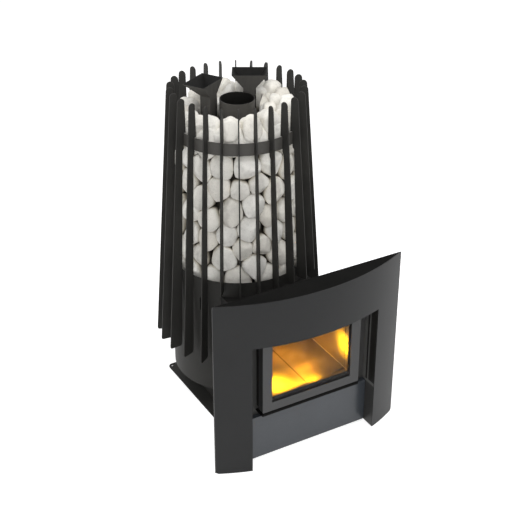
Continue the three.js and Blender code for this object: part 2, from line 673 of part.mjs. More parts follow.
function boulder(r, angle, z, size) {
  const g = new THREE.OctahedronGeometry(1, 1);
  g.scale((size * STONE_W) / 2, STONE_DEPTH / 2, (size * STONE_H) / 2);
  g.rotateY(vary(-0.35, 0.35)).rotateX(vary(-0.2, 0.2)).translate(0, -r, z);
  return g.rotateZ(angle);
}

function stones() {
  const foot = stoneFloor + CLEAR;
  const shoulder = hoopZ - 3 * SLAT_HOOK;
  const inset = 0.62 * STONE_DEPTH;
  const coreTop = stoneTop - 0.7 * STONE_H;
  const core = [[0, foot], [heapLimit(foot) - 2, foot], [heapLimit(foot) - 2, rimZ - 6]];
  core.push([heapLimit(rimZ) - inset, rimZ + 8], [heapLimit(shoulder) - inset, shoulder]);
  core.push([heapLimit(coreTop) - inset, coreTop], [0, coreTop]);
  let heap = solid(lathe(core, 20));
  const half = 0.54 * STONE_H;
  const place = (reach, z, offset) => {
    const r = Math.min(heapLimit(z - half), heapLimit(z + half)) - reach * STONE_DEPTH;
    const count = Math.round((2 * Math.PI * r) / STONE_W);
    for (let i = 0; i < count; i++) {
      const angle = ((i + offset + vary(-0.12, 0.12)) * 2 * Math.PI) / count;
      heap = heap.add(solid(boulder(r, angle, z + vary(-4, 4), vary(0.84, 0.95))));
    }
  };
  const first = foot + half + 5;
  const last = stoneTop - half - 5;
  const rows = Math.round((last - first) / STONE_H);
  for (let row = 0; row <= rows; row++) place(0.53, first + ((last - first) * row) / rows, (row % 2) / 2);
  place(1.45, last, 0.25);
  const gap = 2 * CLEAR;
  const socketR = FLUE_R + SOCKET_WALL + 2 * gap;
  heap = cut(heap, cylinder(FLUE_R + gap, foot - 1, stoneTop + 1, 48));
  heap = cut(heap, cylinder(socketR, foot - 1, stoneFloor + SOCKET_H + gap, 48));
  for (const side of [-1, 1]) {
    const frame = placeFunnel(new THREE.Object3D(), side);
    frame.updateMatrix();
    const clearances = [tube(gap, rimZ + TUBE_FOOT_RISE - gap, stoneTop + 1)];
    clearances.push(hopper(2 * gap, neckZ - gap, funnelTop + gap));
    heap = cut(heap, ...clearances.map((g) => g.applyMatrix4(frame.matrix)));
  }
  return geometryOf(heap);
}

// Assembly: base, hearth and fire
add('base_plate', basePlate(), PAINT);
add('ash_box', ashBox(), RAW_STEEL);
add('hearth', hearth(), RAW_STEEL);
add('grate', grate(), CAST);
add('firebox', firebox(), RAW_STEEL);
add('flame_baffle', baffle(), RAW_STEEL);
add('fuel_tunnel', tunnel(), RAW_STEEL);
add('front_plate', frontPlate(), PAINT);
add('hearth_lip', hearthLip(), PORTAL_PAINT);

// Door opening and door
const collarFace = frontY - COLLAR_DEPTH;
const retainerBack = doorY + DOOR_FACE_T + GLASS_T + SEAL_T + RETAINER_T + 3 * CLEAR;
add('mouth_collar', collarRing(DOOR_SKIRT_T, COLLAR_W, collarFace, frontY - CLEAR), PAINT);
const ropeInset = DOOR_SKIRT_T + ROPE_INSET;
add('rope_seal', collarRing(ropeInset, ROPE_W, retainerBack + CLEAR, collarFace - CLEAR), ROPE);
const glassY = doorY + DOOR_FACE_T + CLEAR;
const sealY = glassY + GLASS_T + CLEAR;
add('door_frame', doorFrame(), PORTAL_PAINT);
add('door_glass', glass(glassY), GLASS);
add('glass_seal', glassSeal(sealY, sealY + SEAL_T), ROPE);
add('glass_retainer', glassRetainer(glassY, sealY + SEAL_T + CLEAR, retainerBack), BRIGHT);
hingeFeet().forEach((foot, i) => {
  const bracket = add(['hinge_bracket_lower', 'hinge_bracket_upper'][i], hingeBracket(), RAW_STEEL);
  bracket.position.set(hinge.x, hinge.y, foot);
});
const catchX = -DOOR_HALF_W + DOOR_SKIRT_T + 2 * CLEAR;
const catchZ = (doorBottom + doorTop - CATCH_H) / 2;
const catchY = collarFace - CLEAR;
add('door_catch', box(catchX, catchY - CATCH_L, catchZ, catchX + CATCH_T, catchY, catchZ + CATCH_H), BRIGHT);

// Portal and ash drawer
add('portal_front', portalFront(), PORTAL_PAINT);
add('portal_top', portalTopPlate(), PAINT);
add('portal_return_left', portalReturn(-1), PORTAL_PAINT);
add('portal_return_right', portalReturn(1), PORTAL_PAINT);
add('portal_soffit', portalSoffit(), PORTAL_PAINT);
add('leg_back_left', legBack(-1), PAINT);
add('leg_back_right', legBack(1), PAINT);
add('drawer_front', drawerFront(), PANEL);
add('ash_tray', ashTray(), RAW_STEEL);

// Body, cage, flue and funnels
add('body_shell', bodyShell(), PAINT);
add('hoop', hoop(), PAINT);
const cage = new THREE.Group();
const [longSlat, shortSlat] = [slat(footZ), slat(shortFootZ)];
for (let i = 0; i < SLAT_COUNT; i++) {
  const angle = slatAngle(i);
  const name = 'slat_' + String(i + 1).padStart(2, '0');
  add(name, isShort(angle) ? shortSlat : longSlat, PAINT, cage).rotation.z = angle - Math.PI / 2;
}
stove.add(cage);
add('flue_pipe', fluePipe(), PAINT);
placeFunnel(add('funnel_left', funnel(), PAINT), -1);
placeFunnel(add('funnel_right', funnel(), PAINT), 1);
add('stones', stones(), STONE);

export default stove;
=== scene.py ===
"""Looks of the sauna stove: paint, stones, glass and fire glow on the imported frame."""

import math
import random

import bpy
import numpy as np
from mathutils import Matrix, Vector, noise


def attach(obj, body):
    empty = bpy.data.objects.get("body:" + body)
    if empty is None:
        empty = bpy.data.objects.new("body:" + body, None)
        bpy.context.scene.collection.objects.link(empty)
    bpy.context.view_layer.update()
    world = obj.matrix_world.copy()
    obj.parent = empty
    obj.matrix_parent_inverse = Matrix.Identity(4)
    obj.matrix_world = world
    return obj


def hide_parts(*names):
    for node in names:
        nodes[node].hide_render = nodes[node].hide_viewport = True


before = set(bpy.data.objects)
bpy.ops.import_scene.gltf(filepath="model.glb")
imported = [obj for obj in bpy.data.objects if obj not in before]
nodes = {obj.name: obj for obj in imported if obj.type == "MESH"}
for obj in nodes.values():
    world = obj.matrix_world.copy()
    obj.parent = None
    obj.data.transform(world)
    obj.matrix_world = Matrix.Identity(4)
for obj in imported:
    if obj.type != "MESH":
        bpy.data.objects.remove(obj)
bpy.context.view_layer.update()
scene = bpy.context.scene
scene.view_settings.view_transform = "Standard"


def across(point):
    return point.x


def height(point):
    return point.z


def radius(point):
    return math.hypot(point.x, point.y)


def measure(name, size):
    """Smallest and largest value of a size over a node's corners, to a tenth of a millimetre."""
    node = nodes[name]
    values = [size(node.matrix_world @ corner.co) for corner in node.data.vertices]
    return round(min(values), 4), round(max(values), 4)


# Sizes taken from the frame, in metres
RIM_Z = measure("body_shell", height)[1]
HOOP_Z = measure("hoop", height)[0]          # underside of the hoop
HOOP_IN = measure("hoop", radius)[0]
FLUE_R = measure("flue_pipe", radius)[1]
TUNNEL_HALF = measure("fuel_tunnel", across)[1]
TUNNEL_TOP = measure("fuel_tunnel", height)[1]

# Sizes repeated from the part, in metres
TUNNEL_WALL = 0.003
STONE_FLOOR = 0.486              # top plate of the firebox
BODY_IN = 0.2304
SLAT_IN_RIM = 0.2332             # inner edge of the slats at the rim
SLAT_LEAN = 0.0411               # they lean in by this share of the height above it
FUNNEL = (0.0756, 0.0525)        # axis of the right water tube, x and y
SLOT_Y = -0.460                  # upright slot in each return plate
SLOT_Z = (0.176, 0.4554)

# Zones of the finish and of painted shade, in metres, and the pane's haze
LINING_HALF = TUNNEL_HALF - TUNNEL_WALL / 2      # brown within the middle of the tunnel's wall
LINING_TOP = TUNNEL_TOP - TUNNEL_WALL / 2
SEAM_X = (0.0288, 0.0322)        # dark seam along the hearth's floor
MORTAR_X = (0.1550, 0.1575)      # pale line where the hearth's slope meets the wall
MORTAR_Z = (0.2300, 0.2325)
FLUE_SKIN = 0.0012               # soot starts this far inside the flue's outer face
SLOT_SHADE = 0.0046               # half width of the painted shade that blackens a slot's edge
SLOT_END = 0.002
SLOT_MARGIN = 0.012              # from a slot to the zones of painted shade and shadow around it
PANE_COVER = 0.1                 # share of the pane that soot haze covers

# Shading of the CAD nodes
WELD = 1e-6
SMOOTH_ANGLE = math.radians(28)
BEVEL_ANGLE = math.radians(40)

# Stones, in metres: the fitted ones against the cage
HEAP_SEED = 23
ROW_SEED = 9
WALL_R = 0.205                   # mean radius of the outer layer
WALL_HALF = (0.026, 0.034)       # half the thickness of a stone
WALL_TILT = 0.16                 # largest slope of a stone's face
WALL_BACK = 0.007                # stones stand back by up to this
STONE_GAP = 0.0015               # between the stones and the cage
BODY_GAP = 0.001                 # between the stones and the body
FLOOR_GAP = 0.001                # between the stones and what they stand on
SKIN = 0.0005                    # least depth of a stone's face behind the gap
HOOP_LEAD = 0.02                 # the stones draw in this far below the hoop
RELAX_STEP = 0.35                # share of an overlap that a round takes away
NEIGHBOUR = 0.2                  # stones nearer than this shape each other
FIT = 7                          # higher makes the stones more square
FIT_SIDE = 0.08                  # a neighbour at a smaller cosine shapes nothing
FIT_SWELL = 1.02                 # closes the joints a little
DIP_ANGLE = 4.2                  # the heap's edge is lower at the left behind
DIP = 0.030
JOINT_SHADE_START = 0.12               # painted shade starts here, as a share of half the thickness
JOINT_SHADE_FADE = 0.5
UNSHADED_Z = 1.0                    # no painted shade in the joints above this
UNSHADED_FADE = 0.03

# Every stone
SIDES = 36
RINGS = 15
FACET_SPREAD = 0.3
FACET_REACH = (0.74, 0.96)       # distance of a broken face, as a share of the size
FACET_CUT = 0.85                 # share that is gone where a stone stands over a broken face
NOISE_SPAN = 90
LUMPS = ((18, 0.06), (45, 0.03))     # noise scale, and share of the size
CHIP_SCALE = 26
CHIP_START = 0.25
CHIP_DEPTH = 0.10
TUBE_CLEAR = 0.0425              # stones stay this far from a water tube's axis
TUBE_PUSH = 0.73                 # share of the tube's distance from the flue where the push starts

# Loose stones
LOOSE_FLAT = 0.9                 # thickness as a share of the width
LOOSE_OVAL = 0.10
LOOSE_CORNERS = 0.06
LOOSE_LEAN = 0.3
LOOSE_TURN = 6
RING_COUNT = 14                  # stones below the crown, in a ring
RING_R = 0.155
RING_Z = 0.990
RING_SHIFT = 0.3                 # share of a step
RING_SIZE = (0.040, 0.034)       # half width and half thickness

# Stones on top of the heap: x, y, z and half width
CROWN = [
    (0.045, 0.150, 1.030, 0.036), (0.145, 0.070, 1.030, 0.037), (0.138, -0.020, 1.028, 0.036),
    (0.130, -0.090, 1.020, 0.034), (0.045, -0.108, 1.018, 0.033), (-0.029, -0.125, 1.022, 0.035),
    (-0.087, -0.110, 1.020, 0.036), (-0.130, -0.060, 1.018, 0.036), (-0.148, -0.010, 1.008, 0.035),
    (-0.120, 0.121, 1.010, 0.036), (-0.040, 0.150, 1.015, 0.036), (0.110, 0.125, 1.012, 0.035),
    (-0.150, 0.065, 1.000, 0.035), (0.090, -0.130, 1.014, 0.034),
]

# Stones round the flue and between the tubes: x, y and half width
INNER = [
    (0.0, 0.102, 0.036), (0.108, -0.016, 0.034), (-0.108, -0.016, 0.034), (0.084, -0.060, 0.035),
    (-0.084, -0.060, 0.035), (0.030, -0.100, 0.036), (-0.034, -0.098, 0.036), (0.140, 0.054, 0.026),
    (-0.140, 0.054, 0.026), (0.056, 0.122, 0.029), (-0.056, 0.122, 0.029),
]
INNER_ROWS = ((0.935, 0.4), (1.000, 0.0))    # height and turn
INNER_UNEVEN = 0.006

# Camera of the photograph
CAMERA_PLACE = (-1.69446, -3.09915, 2.4865)
CAMERA_HEADING = (0.49784, 0.86727, 0)
CAMERA_PITCH = math.radians(29.719)
CAMERA_LENS = 81.43
CAMERA_SENSOR = 36

# Light and floor
FLAME = (1.0, 0.55, 0.012)
GLOW = (1.0, 0.44, 0.013)
WHITE = (1, 1, 1, 1)
FLOOR_SIZE = 12
FLOOR_DROP = 0.0006              # floor below the base plate, so that the faces don't meet
FLOOR_GLOW = 0.62                # lifts the floor to white where it is seen


def make_camera():
    """Camera that sees the stove as the photograph does."""
    heading = Vector(CAMERA_HEADING)
    forward = heading * math.cos(CAMERA_PITCH) - Vector((0, 0, math.sin(CAMERA_PITCH)))
    data = bpy.data.cameras.new("camera")
    data.sensor_width = CAMERA_SENSOR
    data.lens = CAMERA_LENS
    data.clip_end = 100
    camera = bpy.data.objects.new("camera", data)
    camera.location = CAMERA_PLACE
    camera.rotation_mode = "QUATERNION"
    camera.rotation_quaternion = forward.to_track_quat("-Z", "Y")
    scene.collection.objects.link(camera)
    scene.camera = camera


# Node helpers
class Tree:
    """A node tree, and nodes added to it with their inputs set or linked."""

    def __init__(self, tree):
        self.tree = tree
        tree.nodes.clear()

    def add(self, kind, values=None, **props):
        node = self.tree.nodes.new(kind)
        for key, value in props.items():
            setattr(node, key, value)
        for key, value in (values or {}).items():
            if isinstance(value, bpy.types.NodeSocket):
                self.tree.links.new(value, node.inputs[key])
            else:
                node.inputs[key].default_value = value
        return node

    def link(self, a, b):
        self.tree.links.new(a, b)


def new_material(name):
    material = bpy.data.materials.new(name)
    material.use_nodes = True
    return material, Tree(material.node_tree)


def object_place(t):
    return t.add("ShaderNodeTexCoord").outputs["Object"]


def noise_value(t, vector, scale, detail=2.0, roughness=0.5):
    values = {"Vector": vector, "Scale": scale, "Detail": detail, "Roughness": roughness}
    return t.add("ShaderNodeTexNoise", values).outputs["Fac"]


def ramp(t, factor, stops):
    node = t.add("ShaderNodeValToRGB", {"Fac": factor})
    elements = node.color_ramp.elements
    while len(elements) < len(stops):
        elements.new(0.5)
    for element, (position, colour) in zip(elements, stops):
        element.position = position
        element.color = (*colour, 1)
    return node.outputs["Color"]


def two_tone(t, factor, dark, light):
    return ramp(t, factor, [(0.3, dark), (0.7, light)])


def grey(value):
    return (value, value, value)


def compute(t, operation, *numbers):
    return t.add("ShaderNodeMath", dict(enumerate(numbers)), operation=operation).outputs[0]


def scaled(t, value, factor, offset):
    return compute(t, "ADD", compute(t, "MULTIPLY", value, factor), offset)


def between(t, value, limits):
    over = compute(t, "GREATER_THAN", value, limits[0])
    under = compute(t, "LESS_THAN", value, limits[1])
    return compute(t, "MULTIPLY", over, under)


def blend(t, factor, a, b):
    values = {"Factor": factor, "A": a, "B": b}
    return t.add("ShaderNodeMix", values, data_type="RGBA").outputs["Result"]


def multiply(t, a, b):
    values = {"Factor": 1.0, "A": a, "B": b}
    return t.add("ShaderNodeMix", values, data_type="RGBA", blend_type="MULTIPLY").outputs["Result"]


def bump(t, height, strength, distance=0.0004):
    values = {"Strength": strength, "Distance": distance, "Height": height}
    return t.add("ShaderNodeBump", values).outputs[0]


def surface(t, shader):
    t.link(shader, t.add("ShaderNodeOutputMaterial").inputs["Surface"])


def principled(t, values):
    surface(t, t.add("ShaderNodeBsdfPrincipled", values).outputs[0])


def seen_directly(t):
    """1 for rays that show the background: from the camera, by reflection or through glass."""
    path = t.add("ShaderNodeLightPath")
    seen = path.outputs["Is Camera Ray"]
    for kind in ("Is Glossy Ray", "Is Transmission Ray"):
        seen = compute(t, "MAXIMUM", seen, path.outputs[kind])
    return seen


# Materials
def paint(name, dark, light, rough, grain, specular):
    """Heat-resistant paint: fine sprayed grain, faint cloudy tone and roughness."""
    material, t = new_material(name)
    place = object_place(t)
    cloud = noise_value(t, place, scale=6, detail=4, roughness=0.6)
    spray = noise_value(t, place, scale=900, detail=2, roughness=0.6)
    speck = ramp(t, spray, [(0.35, grey(0.9)), (0.65, grey(1.1))])
    principled(t, {
        "Base Color": multiply(t, two_tone(t, cloud, dark, light), speck),
        "Roughness": scaled(t, cloud, 0.12, rough - 0.06),
        "Normal": bump(t, spray, grain),
        "Specular IOR Level": specular,
    })
    return material


def metal(name, dark, light, rough, stretch=(1, 1, 1), grain=0.08):
    """Bare metal: streaked roughness along the rolling direction, cloudy tone."""
    material, t = new_material(name)
    place = object_place(t)
    turned = t.add("ShaderNodeMapping", {"Vector": place, "Scale": stretch}).outputs[0]
    streak = noise_value(t, turned, scale=60, detail=5, roughness=0.65)
    patch = noise_value(t, place, scale=9, detail=4, roughness=0.6)
    principled(t, {
        "Base Color": two_tone(t, patch, dark, light),
        "Roughness": scaled(t, streak, 0.25, rough - 0.12),
        "Normal": bump(t, streak, grain),
        "Metallic": 0.85,
    })
    return material


def lined_material():
    """Fire side of hearth, tunnel and firebox: brown lining with its seams. Black outside."""
    material, t = new_material("lined_tunnel")
    place = object_place(t)
    axis = t.add("ShaderNodeSeparateXYZ", {0: place}).outputs
    side = compute(t, "ABSOLUTE", axis["X"])
    within = compute(t, "LESS_THAN", side, LINING_HALF)
    below = compute(t, "LESS_THAN", axis["Z"], LINING_TOP)
    inside = compute(t, "MULTIPLY", within, below)
    soot = noise_value(t, place, scale=18, detail=2.5, roughness=0.6)
    lining = two_tone(t, soot, (0.16, 0.125, 0.075), (0.27, 0.21, 0.125))
    shell = two_tone(t, soot, (0.0105, 0.0102, 0.0096), (0.0145, 0.014, 0.013))
    seam = between(t, axis["X"], SEAM_X)
    lining = blend(t, seam, lining, (0.03, 0.022, 0.012, 1))
    corner = compute(t, "MULTIPLY", between(t, side, MORTAR_X), between(t, axis["Z"], MORTAR_Z))
    lining = blend(t, corner, lining, (0.55, 0.48, 0.30, 1))
    principled(t, {
        "Base Color": blend(t, inside, shell, lining),
        "Roughness": 0.75,
        "Normal": bump(t, soot, 0.2, 0.0006),
        "Specular IOR Level": 0.3,
    })
    return material


def funnel_material():
    """Black paint outside; the sloped inside, which faces up, is painted near black as shade."""
    material, t = new_material("funnel_paint")
    place = object_place(t)
    facing = t.add("ShaderNodeNewGeometry").outputs["True Normal"]
    rise = t.add("ShaderNodeSeparateXYZ", {0: facing}).outputs["Z"]
    spray = noise_value(t, place, scale=500, detail=2, roughness=0.6)
    streak = t.add("ShaderNodeMapping", {"Vector": place, "Scale": (1, 1, 0.15)}).outputs[0]
    stain = noise_value(t, streak, scale=60, detail=4, roughness=0.6)
    shell = two_tone(t, stain, (0.052, 0.050, 0.046), (0.064, 0.0615, 0.057))
    # painted shade for the inside of the funnel, on faces that look up
    painted_inside_shade = two_tone(t, stain, (0.0035, 0.0035, 0.0033), (0.007, 0.0068, 0.0064))
    inside = ramp(t, rise, [(0.05, grey(0.0)), (0.2, grey(1.0))])
    principled(t, {
        "Base Color": blend(t, inside, shell, painted_inside_shade),
        "Roughness": 0.55,
        "Normal": bump(t, spray, 0.06),
        "Specular IOR Level": 0.16,
    })
    return material


def return_material():
    """Return plates: paler beside the slot as a painted reflection, darker below it as a painted shadow,
    black in the leg's corner and the slot as painted shade.
    """
    material, t = new_material("return_painted_light")
    place = object_place(t)
    axis = t.add("ShaderNodeSeparateXYZ", {0: place}).outputs
    cloud = noise_value(t, place, scale=9, detail=4, roughness=0.6)
    spray = noise_value(t, place, scale=900, detail=2, roughness=0.6)
    # painted reflection: the plate made much paler than the black paint
    painted_reflection = two_tone(t, cloud, (0.105, 0.105, 0.100), (0.125, 0.125, 0.12))
    dark = two_tone(t, cloud, (0.010, 0.0095, 0.0085), (0.014, 0.0132, 0.012))
    # painted shadow on the plate below the slot
    painted_foot_shadow = two_tone(t, cloud, (0.032, 0.0315, 0.030), (0.038, 0.0375, 0.036))
    below = compute(t, "LESS_THAN", axis["Z"], SLOT_Z[0] - SLOT_MARGIN)
    reflection_and_shadow = blend(t, below, painted_reflection, painted_foot_shadow)
    # painted shade in and around the slot
    slot_shade_y = between(t, axis["Y"], (SLOT_Y - SLOT_SHADE, SLOT_Y + SLOT_SHADE))
    slot_shade_z = between(t, axis["Z"], (SLOT_Z[0] - SLOT_END, SLOT_Z[1] + SLOT_END))
    edge = compute(t, "MULTIPLY", slot_shade_y, slot_shade_z)
    # painted shade in the leg's corner, ahead of the slot; black here is this shade
    shaded_front = compute(t, "LESS_THAN", axis["Y"], SLOT_Y - SLOT_MARGIN)
    upper = compute(t, "GREATER_THAN", axis["Z"], SLOT_Z[0])
    black = compute(t, "MAXIMUM", edge, compute(t, "MULTIPLY", shaded_front, upper))
    principled(t, {
        "Base Color": blend(t, black, reflection_and_shadow, dark),
        "Roughness": 0.45,
        "Normal": bump(t, spray, 0.04),
        "Specular IOR Level": 0.25,
    })
    return material


def flue_material():
    """Flue pipe: warm black outside, soot inside."""
    material, t = new_material("flue_paint")
    place = object_place(t)
    flat = t.add("ShaderNodeMapping", {"Vector": place, "Scale": (1, 1, 0)}).outputs[0]
    reach = t.add("ShaderNodeVectorMath", {0: flat}, operation="LENGTH").outputs["Value"]
    inside = compute(t, "LESS_THAN", reach, FLUE_R - FLUE_SKIN)
    cloud = noise_value(t, place, scale=12, detail=4, roughness=0.6)
    spray = noise_value(t, place, scale=700, detail=2, roughness=0.6)
    shell = two_tone(t, cloud, (0.050, 0.0475, 0.0435), (0.060, 0.057, 0.052))
    soot = two_tone(t, cloud, (0.008, 0.0078, 0.007), (0.013, 0.0126, 0.0115))
    principled(t, {
        "Base Color": blend(t, inside, shell, soot),
        "Roughness": 0.5,
        "Normal": bump(t, spray, 0.06),
        "Specular IOR Level": 0.22,
    })
    return material


def rope_material():
    """Woven fibre rope: crossed diagonal strands."""
    material, t = new_material("fibre_rope")
    values = {"Vector": object_place(t), "Scale": 160.0, "Distortion": 1.5, "Detail": 2.0}
    weave = t.add("ShaderNodeTexWave", values, bands_direction="DIAGONAL").outputs["Fac"]
    principled(t, {
        "Base Color": ramp(t, weave, [(0.2, (0.016, 0.0155, 0.015)), (0.8, (0.042, 0.040, 0.038))]),
        "Roughness": 0.95,
        "Normal": bump(t, weave, 0.5, 0.001),
    })
    return material


def glass_material():
    """Clear pane with a faint soot haze."""
    material, t = new_material("pane")
    haze = noise_value(t, object_place(t), scale=14, detail=4, roughness=0.6)
    principled(t, {
        "Base Color": (0.03, 0.028, 0.025, 1),
        "Roughness": ramp(t, haze, [(0.4, grey(0.0)), (0.8, grey(0.012))]),
        "Alpha": PANE_COVER,
    })
    return material


def stone_material():
    """Pale tumbled stone: own tone for each stone, mottling, dark grains, painted shade in the joints."""
    material, t = new_material("pale_stone")
    place = object_place(t)
    own = t.add("ShaderNodeAttribute", attribute_name="tone").outputs["Fac"]
    joint_shade_fac = t.add("ShaderNodeAttribute", attribute_name="joint_shade").outputs["Fac"]
    mottle = noise_value(t, place, scale=28, detail=6, roughness=0.65)
    grains = noise_value(t, place, scale=420, detail=3, roughness=0.6)
    base = ramp(t, own, [
        (0.0, (0.735, 0.70, 0.63)),
        (0.3, (0.785, 0.77, 0.72)),
        (0.6, (0.835, 0.805, 0.735)),
        (0.8, (0.85, 0.835, 0.79)),
        (1.0, (0.89, 0.87, 0.81)),
    ])
    cloud = ramp(t, mottle, [(0.28, grey(0.8)), (0.5, grey(1.0)), (0.75, grey(1.06))])
    spots = ramp(t, grains, [(0.28, (0.60, 0.58, 0.55)), (0.4, grey(1.0))])
    # painted shade in the joints, on the stones' sides and backs, and over the inner layer
    painted_shade = ramp(t, joint_shade_fac, [
        (0.0, grey(1.0)),
        (0.4, (0.88, 0.85, 0.79)),
        (0.65, (0.42, 0.39, 0.34)),
        (1.0, (0.035, 0.032, 0.027)),
    ])
    relief = compute(t, "MULTIPLY_ADD", grains, 0.25, mottle)
    principled(t, {
        "Base Color": multiply(t, multiply(t, multiply(t, base, cloud), spots), painted_shade),
        "Roughness": 0.82,
        "Normal": bump(t, relief, 0.5, 0.003),
    })
    return material


# Shading of the CAD nodes
def smooth_group():
    """Modifier that welds the facets and shades them smooth up to an angle."""
    group = bpy.data.node_groups.new("smooth_by_angle", "GeometryNodeTree")
    group.interface.new_socket("Geometry", in_out="INPUT", socket_type="NodeSocketGeometry")
    group.interface.new_socket("Geometry", in_out="OUTPUT", socket_type="NodeSocketGeometry")
    t = Tree(group)
    source = t.add("NodeGroupInput").outputs[0]
    bare = t.add("GeometryNodeRemoveAttribute", {"Geometry": source, "Name": "custom_normal"}).outputs[0]
    weld = t.add("GeometryNodeMergeByDistance", {"Geometry": bare, "Distance": WELD}).outputs[0]
    faces = {"Geometry": weld, "Shade Smooth": True}
    smooth = t.add("GeometryNodeSetShadeSmooth", faces, domain="FACE").outputs[0]
    angle = t.add("GeometryNodeInputMeshEdgeAngle").outputs["Unsigned Angle"]
    limit = {0: angle, 1: SMOOTH_ANGLE}
    small = t.add("FunctionNodeCompare", limit, data_type="FLOAT", operation="LESS_THAN").outputs[0]
    edges = {"Geometry": smooth, "Shade Smooth": small}
    done = t.add("GeometryNodeSetShadeSmooth", edges, domain="EDGE").outputs[0]
    t.link(done, t.add("NodeGroupOutput").inputs[0])
    return group


def dress(names, material, bevel=0.0006):
    """Gives nodes their material, smooth shading and, with a bevel, slightly broken edges."""
    for name in names:
        node = nodes[name]
        node.data.materials.clear()
        node.data.materials.append(material)
        node.modifiers.new("smooth", "NODES").node_group = SMOOTH
        if bevel:
            edge = node.modifiers.new("edge", "BEVEL")
            edge.width = bevel
            edge.segments = 2
            edge.limit_method = "ANGLE"
            edge.angle_limit = BEVEL_ANGLE
            edge.harden_normals = False


# Stones
class Heap:
    """Points and faces of all the stones, with a tone and a painted joint shade for each point."""

    def __init__(self):
        self.points = []
        self.faces = []
        self.tones = []
        self.joint_shade = []

    def add(self, points, faces, tone, joint_shade):
        start = len(self.points)
        self.points += points
        self.faces += [tuple(start + i for i in f) for f in faces]
        self.tones += [tone] * len(points)
        self.joint_shade += joint_shade


def heap_limit(z):
    """Largest radius that the stones may reach at a height."""
    if z < RIM_Z:
        return BODY_IN - BODY_GAP
    if z < HOOP_Z - HOOP_LEAD:
        return SLAT_IN_RIM - SLAT_LEAN * (z - RIM_Z) - STONE_GAP
    return HOOP_IN - STONE_GAP


def relax(points, weights, width, low, high, rounds):
    """Spreads points evenly over a band that closes on itself after width."""
    for _ in range(rounds):
        gap = points[:, None, :] - points[None, :, :]
        gap[:, :, 0] -= width * np.round(gap[:, :, 0] / width)
        length = np.sqrt((gap ** 2).sum(2)) + 1e-9
        want = (weights[:, None] + weights[None, :]) * 0.5
        push = np.clip(want - length, 0, None)
        np.fill_diagonal(push, 0)
        points = points + RELAX_STEP * (gap / length[:, :, None] * push[:, :, None]).sum(1)
        dip = np.clip(np.cos(2 * math.pi * points[:, 0] / width - DIP_ANGLE), 0, None)
        points[:, 1] = np.clip(points[:, 1], low, high - DIP * dip)
        points[:, 0] %= width
    return points


def pebble(outline, half, lumps, facets, square):
    """Vertices and faces of a rounded stone: outline(angle) in its plane, half its thickness."""
    points = [(0.0, 0.0, -half)]
    for j in range(1, RINGS):
        v = -math.pi / 2 + math.pi * j / RINGS
        across = math.cos(v) ** square
        up = math.copysign(abs(math.sin(v)) ** square, math.sin(v))
        for i in range(SIDES):
            a = 2 * math.pi * i / SIDES
            r = outline(a) * across
            points.append((r * math.cos(a), r * math.sin(a), half * up))
    points.append((0.0, 0.0, half))
    faces = []
    last = 1 + (RINGS - 2) * SIDES
    for i in range(SIDES):
        k = (i + 1) % SIDES
        faces.append((0, 1 + k, 1 + i))
        for j in range(RINGS - 2):
            a, b = 1 + j * SIDES, 1 + (j + 1) * SIDES
            faces.append((a + i, a + k, b + k, b + i))
        faces.append((last + i, last + k, len(points) - 1))
    return [worn(Vector(p), lumps, facets) for p in points], faces


def worn(p, lumps, facets):
    """A point of a stone after its broken faces, soft lumps and chips."""
    for normal, reach in facets:
        p -= normal * max(0.0, p.dot(normal) - reach) * FACET_CUT
    soft = sum(noise.noise(p * scale + lumps) * share for scale, share in LUMPS)
    chip = max(0.0, noise.noise(p * CHIP_SCALE - lumps) - CHIP_START) * CHIP_DEPTH
    return p * (1 + soft - chip)


def broken_faces(rng, size, count, spread, outward):
    """Planes that flatten a stone where it once broke."""
    found = []
    for _ in range(count):
        normal = Vector((rng.gauss(0, spread), rng.gauss(0, spread), outward + rng.gauss(0, FACET_SPREAD)))
        found.append((normal.normalized(), size * rng.uniform(*FACET_REACH)))
    return found


def noise_start(rng):
    return Vector([rng.uniform(0, NOISE_SPAN) for _ in range(3)])


def neighbours(i, gap, weights):
    """Direction to each stone near stone i, and the distance to the line between the two."""
    near = []
    for j in range(len(weights)):
        d = gap[i, j]
        far = math.hypot(*d)
        if j != i and far < NEIGHBOUR:
            share = 0.5 + 0.5 * (weights[i] - weights[j]) / (weights[i] + weights[j])
            near.append((d / far, far * share))
    return near


def fitted_outline(near, tall):
    """Outline of a stone that its neighbours shape, and that reaches no further than tall."""
    def outline(a):
        u = (math.cos(a), math.sin(a))
        total = (1 / tall) ** FIT
        for direction, reach in near:
            c = direction[0] * u[0] + direction[1] * u[1]
            if c > FIT_SIDE:
                total += (c / reach) ** FIT
        return total ** (-1 / FIT) * FIT_SWELL
    return outline


